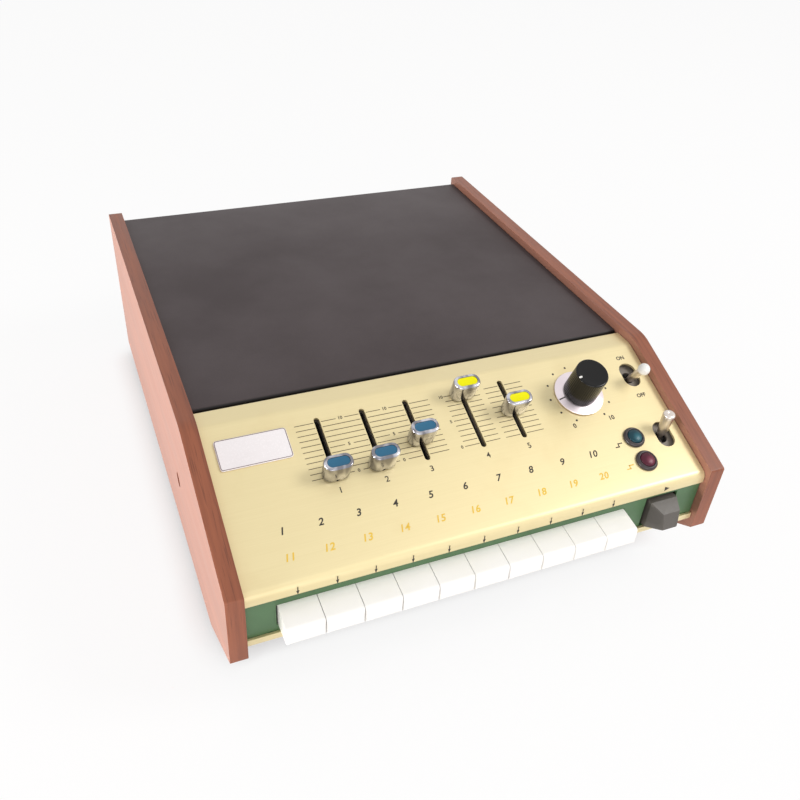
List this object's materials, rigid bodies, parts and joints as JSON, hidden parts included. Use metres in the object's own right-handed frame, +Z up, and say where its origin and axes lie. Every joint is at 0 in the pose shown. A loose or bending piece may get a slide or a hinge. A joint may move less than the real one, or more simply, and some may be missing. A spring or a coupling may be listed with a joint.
{
  "type": "preset drum machine",
  "caption": "Table-top preset drum machine: sloping gold panel with slider controls, tempo knob, toggles and lamps over a row of push keys, in a metal case with wooden sides.",
  "frame": {"origin": "on the table, under the middle of the whole object's outline", "axes": "+X to the right as seen from the keys, +Y to the rear, +Z up"},
  "size_m": [0.28, 0.3526, 0.125],
  "materials": {
    "wood": "satin reddish-brown veneer",
    "cover_paint": "fine-textured warm dark grey",
    "tray_steel": "satin black",
    "gold_panel": "brushed champagne gold",
    "green_band": "satin green",
    "plain_steel": "zinc plated",
    "screw_steel": "zinc plated",
    "chrome": "bright plated",
    "blue_insert": "gloss",
    "yellow_insert": "gloss",
    "white_keys": "satin white",
    "grey_key": "satin grey",
    "black_plastic": "gloss black",
    "bezel_black": "black",
    "teal_jewel": "clear teal",
    "red_jewel": "clear red",
    "lamp_metal": "plain",
    "board": "green laminate",
    "transformer": "varnished",
    "rubber": "matte"
  },
  "bodies": {
    "case": {"left_side_panel": "wood", "right_side_panel": "wood", "top_cover": "cover_paint", "rear_panel": "cover_paint", "bottom_tray": "tray_steel", "front_panel": "gold_panel", "control_plate": "plain_steel", "key_fascia": "green_band", "lower_trim": "gold_panel", "badge_plate": "gold_panel", "side_panel_screws": "screw_steel", "case_screws": "screw_steel", "rubber_feet": "rubber", "foot_screws": "screw_steel", "slide_pots": "plain_steel", "key_switch_bank": "plain_steel", "tempo_pot": "plain_steel", "power_switch_body": "black_plastic", "row_switch_body": "black_plastic", "lamp_bezels": "bezel_black", "teal_lens": "teal_jewel", "red_lens": "red_jewel", "pilot_lamps": "lamp_metal", "circuit_board": "board", "power_transformer": "transformer", "rear_jacks": "black_plastic", "fuse_holder": "black_plastic", "cable_bush": "black_plastic"},
    "slider_1": {"slider_lever_1": "plain_steel", "slider_knob_1": "chrome", "slider_insert_1": "blue_insert"},
    "slider_2": {"slider_lever_2": "plain_steel", "slider_knob_2": "chrome", "slider_insert_2": "blue_insert"},
    "slider_3": {"slider_lever_3": "plain_steel", "slider_knob_3": "chrome", "slider_insert_3": "blue_insert"},
    "slider_4": {"slider_lever_4": "plain_steel", "slider_knob_4": "chrome", "slider_insert_4": "yellow_insert"},
    "slider_5": {"slider_lever_5": "plain_steel", "slider_knob_5": "chrome", "slider_insert_5": "yellow_insert"},
    "tempo_control": {"tempo_knob": "black_plastic", "tempo_skirt": "chrome", "tempo_shaft": "chrome"},
    "power_toggle": {"power_lever": "chrome", "power_lever_tip": "white_keys"},
    "row_toggle": {"row_lever": "chrome"},
    "key_1_button": {"key_1": "white_keys"},
    "key_2_button": {"key_2": "white_keys"},
    "key_3_button": {"key_3": "white_keys"},
    "key_4_button": {"key_4": "white_keys"},
    "key_5_button": {"key_5": "white_keys"},
    "key_6_button": {"key_6": "white_keys"},
    "key_7_button": {"key_7": "white_keys"},
    "key_8_button": {"key_8": "white_keys"},
    "key_9_button": {"key_9": "white_keys"},
    "key_10_button": {"key_10": "white_keys"},
    "start_button": {"start_key": "grey_key"}
  },
  "joints": [
    {"name": "slider_1_slide", "type": "slide", "parent": "case", "child": "slider_1", "axis": [0, 0.9328, 0.3604], "range_m": [0, 0.03]},
    {"name": "slider_2_slide", "type": "slide", "parent": "case", "child": "slider_2", "axis": [0, 0.9328, 0.3604], "range_m": [0, 0.03]},
    {"name": "slider_3_slide", "type": "slide", "parent": "case", "child": "slider_3", "axis": [0, 0.9328, 0.3604], "range_m": [-0.009, 0.021]},
    {"name": "slider_4_slide", "type": "slide", "parent": "case", "child": "slider_4", "axis": [0, 0.9328, 0.3604], "range_m": [-0.03, 0]},
    {"name": "slider_5_slide", "type": "slide", "parent": "case", "child": "slider_5", "axis": [0, 0.9328, 0.3604], "range_m": [-0.0141, 0.0159]},
    {"name": "tempo_turn", "type": "hinge", "parent": "case", "child": "tempo_control", "pos_m": [0.08059, -0.10154, 0.10187], "axis": [0, -0.3604, 0.9328], "range_deg": [-247, 53]},
    {"name": "power_toggle_tilt", "type": "hinge", "parent": "case", "child": "power_toggle", "pos_m": [0.119, -0.09363, 0.09582], "axis": [-1, 0, 0], "range_deg": [0, 28]},
    {"name": "row_toggle_tilt", "type": "hinge", "parent": "case", "child": "row_toggle", "pos_m": [0.119, -0.13237, 0.08084], "axis": [1, 0, 0], "range_deg": [0, 28]},
    {"name": "key_1_push", "type": "slide", "parent": "case", "child": "key_1_button", "axis": [0, 1, 0], "range_m": [0, 0.004], "stiffness_N_per_m": 200, "springref_m": -0.003},
    {"name": "key_2_push", "type": "slide", "parent": "case", "child": "key_2_button", "axis": [0, 1, 0], "range_m": [0, 0.004], "stiffness_N_per_m": 200, "springref_m": -0.003},
    {"name": "key_3_push", "type": "slide", "parent": "case", "child": "key_3_button", "axis": [0, 1, 0], "range_m": [0, 0.004], "stiffness_N_per_m": 200, "springref_m": -0.003},
    {"name": "key_4_push", "type": "slide", "parent": "case", "child": "key_4_button", "axis": [0, 1, 0], "range_m": [0, 0.004], "stiffness_N_per_m": 200, "springref_m": -0.003},
    {"name": "key_5_push", "type": "slide", "parent": "case", "child": "key_5_button", "axis": [0, 1, 0], "range_m": [0, 0.004], "stiffness_N_per_m": 200, "springref_m": -0.003},
    {"name": "key_6_push", "type": "slide", "parent": "case", "child": "key_6_button", "axis": [0, 1, 0], "range_m": [0, 0.004], "stiffness_N_per_m": 200, "springref_m": -0.003},
    {"name": "key_7_push", "type": "slide", "parent": "case", "child": "key_7_button", "axis": [0, 1, 0], "range_m": [0, 0.004], "stiffness_N_per_m": 200, "springref_m": -0.003},
    {"name": "key_8_push", "type": "slide", "parent": "case", "child": "key_8_button", "axis": [0, 1, 0], "range_m": [0, 0.004], "stiffness_N_per_m": 200, "springref_m": -0.003},
    {"name": "key_9_push", "type": "slide", "parent": "case", "child": "key_9_button", "axis": [0, 1, 0], "range_m": [0, 0.004], "stiffness_N_per_m": 200, "springref_m": -0.003},
    {"name": "key_10_push", "type": "slide", "parent": "case", "child": "key_10_button", "axis": [0, 1, 0], "range_m": [0, 0.004], "stiffness_N_per_m": 200, "springref_m": -0.003},
    {"name": "start_key_push", "type": "slide", "parent": "case", "child": "start_button", "axis": [0, 1, 0], "range_m": [0, 0.004], "stiffness_N_per_m": 200, "springref_m": -0.003}
  ]
}
